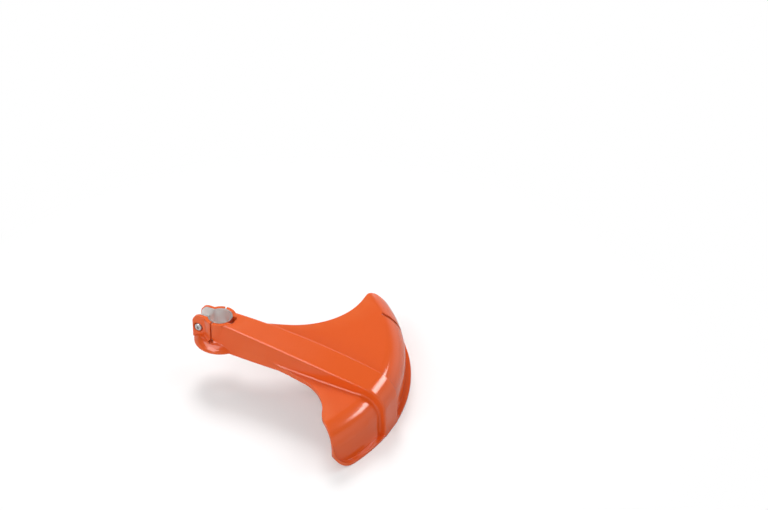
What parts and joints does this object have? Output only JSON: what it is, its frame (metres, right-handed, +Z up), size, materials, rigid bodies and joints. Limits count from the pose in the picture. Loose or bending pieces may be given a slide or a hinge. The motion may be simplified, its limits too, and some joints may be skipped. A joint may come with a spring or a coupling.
{
  "type": "trimmer guard",
  "caption": "Moulded line-trimmer guard: split hub with a steel tube clamp, channel arm and a fan with a deep curved skirt, foot flange and line-cutting blade.",
  "frame": {"origin": "on the shaft tube's axis, level with the lower rim of the hub's collar", "axes": "+Z up the tube away from the cutting head, +X along the arm towards the skirt, +Y towards the far tip with the line cutter"},
  "size_m": [0.255, 0.2582, 0.0846],
  "materials": {
    "shell": "glossy moulded orange",
    "band": "bright zinc-plated strip",
    "fastener": "zinc-plated",
    "blade": "ground steel"
  },
  "bodies": {
    "root": {"guard_shell": "shell", "clamp_band": "band", "clamp_screw": "fastener", "clamp_nut": "fastener", "line_cutter_blade": "blade", "cutter_screw": "fastener"}
  },
  "joints": []
}
